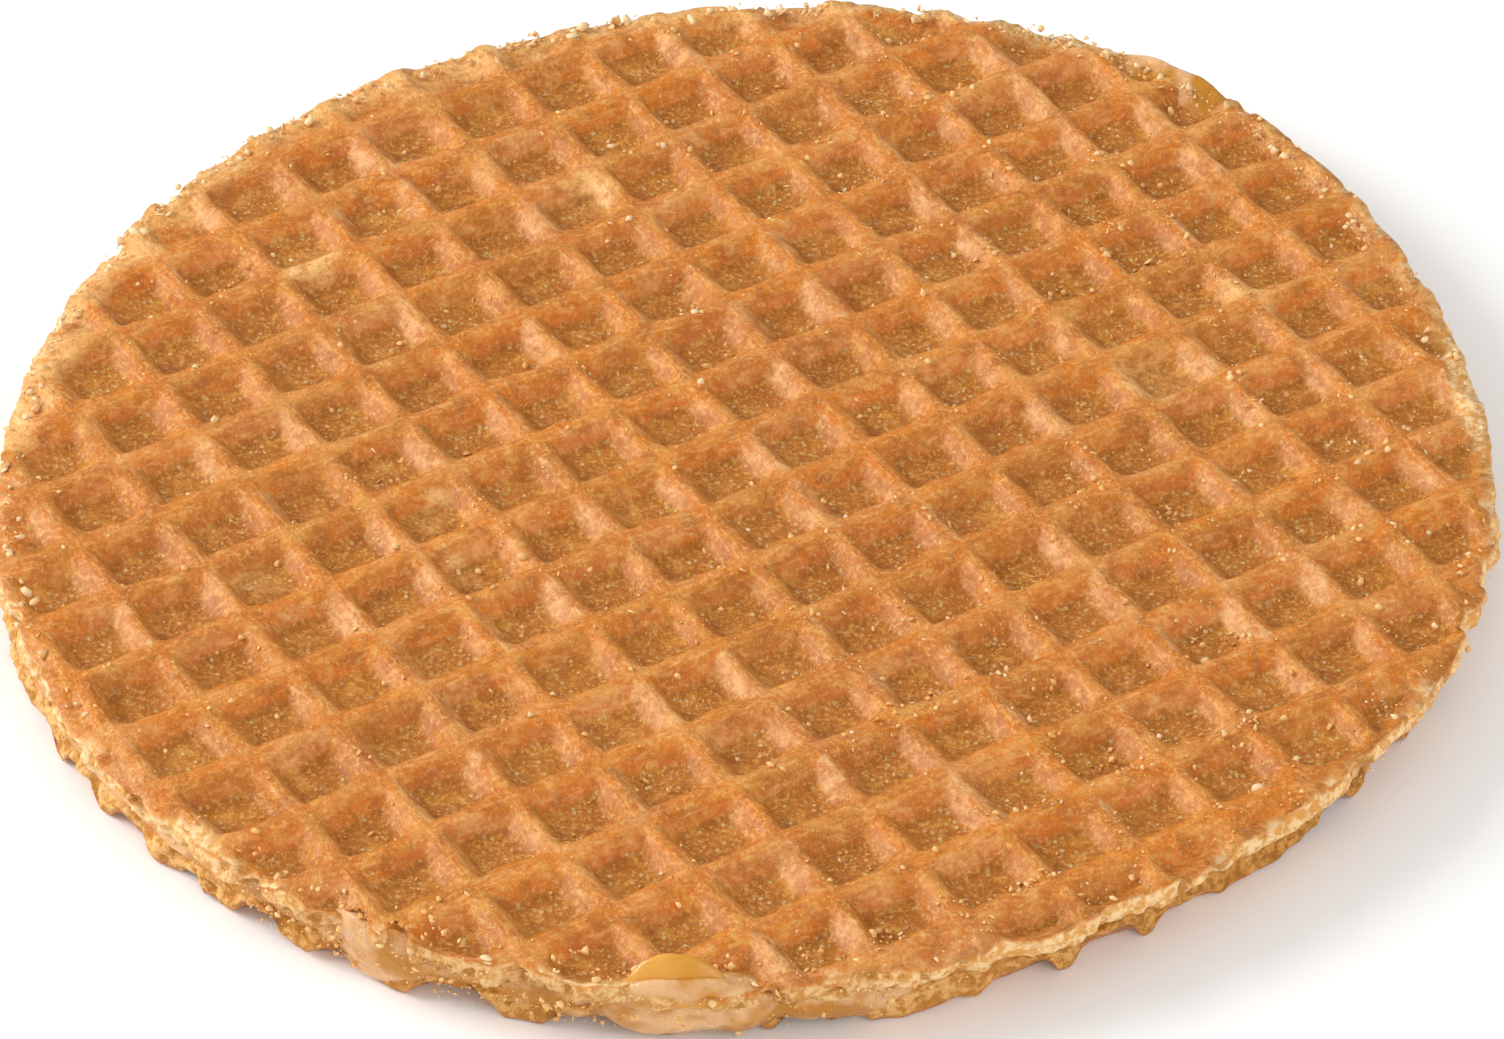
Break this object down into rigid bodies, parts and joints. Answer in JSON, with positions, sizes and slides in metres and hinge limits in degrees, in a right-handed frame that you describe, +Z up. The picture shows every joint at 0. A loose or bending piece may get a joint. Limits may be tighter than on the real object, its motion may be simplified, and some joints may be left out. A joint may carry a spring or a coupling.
{
  "type": "stroopwafel",
  "caption": "Round waffle biscuit: two thin gridded wafers with a layer of caramel syrup pressed between them.",
  "frame": {"origin": "bottom centre of the biscuit's box, on the plane of the lower rib crests it rests on", "axes": "+Z up, square to the biscuit's faces; -Y towards the side where most syrup has oozed out; +X to the right seen from there"},
  "size_m": [0.0966, 0.1003, 0.006],
  "materials": {
    "wafer_top": "baked golden-brown wafer, rib walls lightly glossy with butter, pale crumb at the cut rim",
    "wafer_bottom": "baked golden-brown wafer, slightly darker, pale crumb at the cut rim",
    "syrup": "glossy caramel syrup, amber to butterscotch"
  },
  "bodies": {
    "root": {"bottom_wafer": "wafer_bottom", "filling": "syrup", "top_wafer": "wafer_top"}
  },
  "joints": []
}
